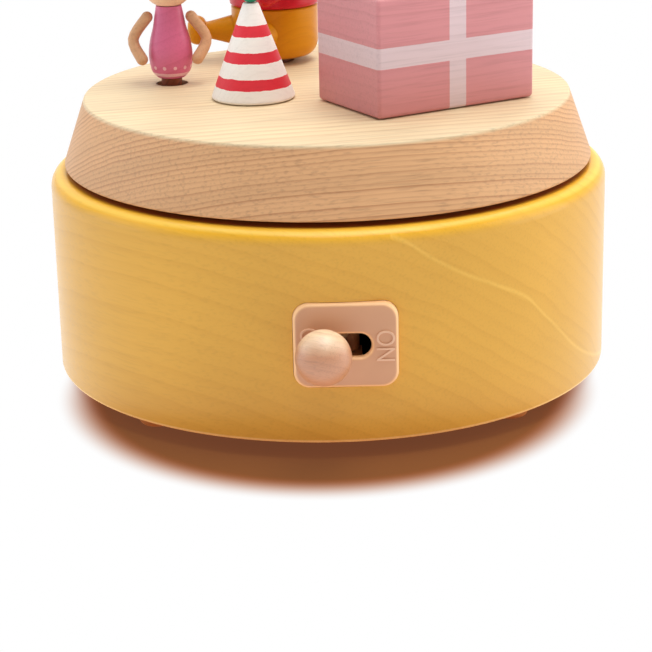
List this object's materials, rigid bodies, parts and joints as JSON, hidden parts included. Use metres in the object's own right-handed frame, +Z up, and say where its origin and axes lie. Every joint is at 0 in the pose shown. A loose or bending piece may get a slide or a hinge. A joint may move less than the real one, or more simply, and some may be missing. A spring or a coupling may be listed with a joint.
{
  "type": "wind-up wooden music box with a turning stage",
  "caption": "Round wooden music box: a stained drum with a lever switch and a winding key below, and a turning stage with spinning dolls, a striped cone and a gift box.",
  "frame": {"origin": "under the middle of the whole outline, on the surface that the feet stand on", "axes": "+Z up along the drum's axis, -Y towards the front with the switch, +X to the right seen from the front"},
  "size_m": [0.125, 0.1383, 0.1156],
  "materials": {
    "yellow_stained_wood": "satin",
    "pale_maple": "oiled",
    "plywood": "plain",
    "ball_wood": "satin",
    "pink_painted_wood": "satin paint",
    "white_painted_wood": "matt paint with red bands",
    "green_painted_wood": "satin paint",
    "dress_pink_paint": "satin paint",
    "doll_wood": "satin",
    "hair_brown_paint": "satin paint",
    "post_brown": "satin",
    "mustard_paint": "satin paint",
    "red_paint": "satin paint",
    "beige_plastic": "satin moulded",
    "steel": "bright",
    "brass": "bright",
    "cast_zinc": "cast",
    "pale_gear_plastic": "moulded",
    "dark_plastic": "moulded"
  },
  "bodies": {
    "base": {"drum_shell": "yellow_stained_wood", "bottom_board": "plywood", "foot_front_left": "pale_maple", "foot_front_right": "pale_maple", "foot_back_left": "pale_maple", "foot_back_right": "pale_maple", "board_screw_1": "steel", "board_screw_2": "steel", "board_screw_3": "steel", "bed_screw_1": "steel", "bed_screw_2": "steel", "bed_screw_3": "steel", "switch_plate": "beige_plastic", "switch_pin": "steel", "bed_plate": "cast_zinc", "comb": "steel", "comb_screw_1": "brass", "comb_screw_2": "brass", "governor_case": "dark_plastic", "sun_gear": "pale_gear_plastic", "deck_bush": "brass"},
    "stage": {"stage_disc": "pale_maple", "small_post_bush": "post_brown", "large_post_bush": "post_brown", "cone_body": "white_painted_wood", "cone_bead": "green_painted_wood", "gift_box": "pink_painted_wood", "output_shaft": "steel", "spring_barrel": "brass", "barrel_cover": "brass", "mainspring": "steel"},
    "small_doll": {"small_post": "post_brown", "small_planet_gear": "pale_gear_plastic", "small_dress": "dress_pink_paint", "small_head": "doll_wood", "small_hair": "hair_brown_paint", "small_arm_left": "doll_wood", "small_arm_right": "doll_wood"},
    "large_doll": {"large_post": "post_brown", "large_planet_gear": "pale_gear_plastic", "large_trousers": "mustard_paint", "large_jumper": "red_paint", "large_leg_left": "mustard_paint", "large_leg_right": "mustard_paint", "large_shoe_left": "mustard_paint", "large_shoe_right": "mustard_paint", "large_head": "doll_wood", "large_hair": "hair_brown_paint", "large_arm_left": "red_paint", "large_arm_right": "red_paint"},
    "switch": {"switch_lever": "beige_plastic", "switch_ball": "ball_wood"},
    "key": {"winding_key": "steel", "winding_arbor": "steel"},
    "cylinder": {"pin_cylinder": "brass", "cylinder_axle": "steel", "cylinder_pinion": "brass", "cylinder_gear": "brass"},
    "governor": {"governor_pinion": "pale_gear_plastic"}
  },
  "joints": [
    {"name": "stage_turn", "type": "hinge", "parent": "base", "child": "stage", "pos_m": [0, 0.00669, 0.0496], "axis": [0, 0, 1], "continuous": true},
    {"name": "small_doll_spin", "type": "hinge", "parent": "stage", "child": "small_doll", "pos_m": [-0.03529, 0.01694, 0.0643], "axis": [0, 0, 1], "continuous": true},
    {"name": "large_doll_spin", "type": "hinge", "parent": "stage", "child": "large_doll", "pos_m": [-0.01184, 0.04148, 0.0643], "axis": [0, 0, 1], "continuous": true},
    {"name": "cylinder_spin", "type": "hinge", "parent": "base", "child": "cylinder", "pos_m": [0, 0.00669, 0.026], "axis": [0.7071, -0.7071, 0], "continuous": true},
    {"name": "governor_spin", "type": "hinge", "parent": "base", "child": "governor", "pos_m": [-0.0094, -0.00272, 0.026], "axis": [0.7071, -0.7071, 0], "continuous": true},
    {"name": "lever_swing", "type": "hinge", "parent": "base", "child": "switch", "pos_m": [0.0027, -0.04361, 0.02485], "axis": [0, 0, 1], "range_deg": [0, 26]},
    {"name": "key_turn", "type": "hinge", "parent": "base", "child": "key", "pos_m": [0, 0.00669, 0.0044], "axis": [0, 0, 1], "continuous": true}
  ],
  "couplings": [
    {"joint": "small_doll_spin", "follows": "stage_turn", "ratio": 2.7692},
    {"joint": "large_doll_spin", "follows": "stage_turn", "ratio": 2.7692},
    {"joint": "cylinder_spin", "follows": "stage_turn", "ratio": 3},
    {"joint": "governor_spin", "follows": "stage_turn", "ratio": -8.4}
  ]
}
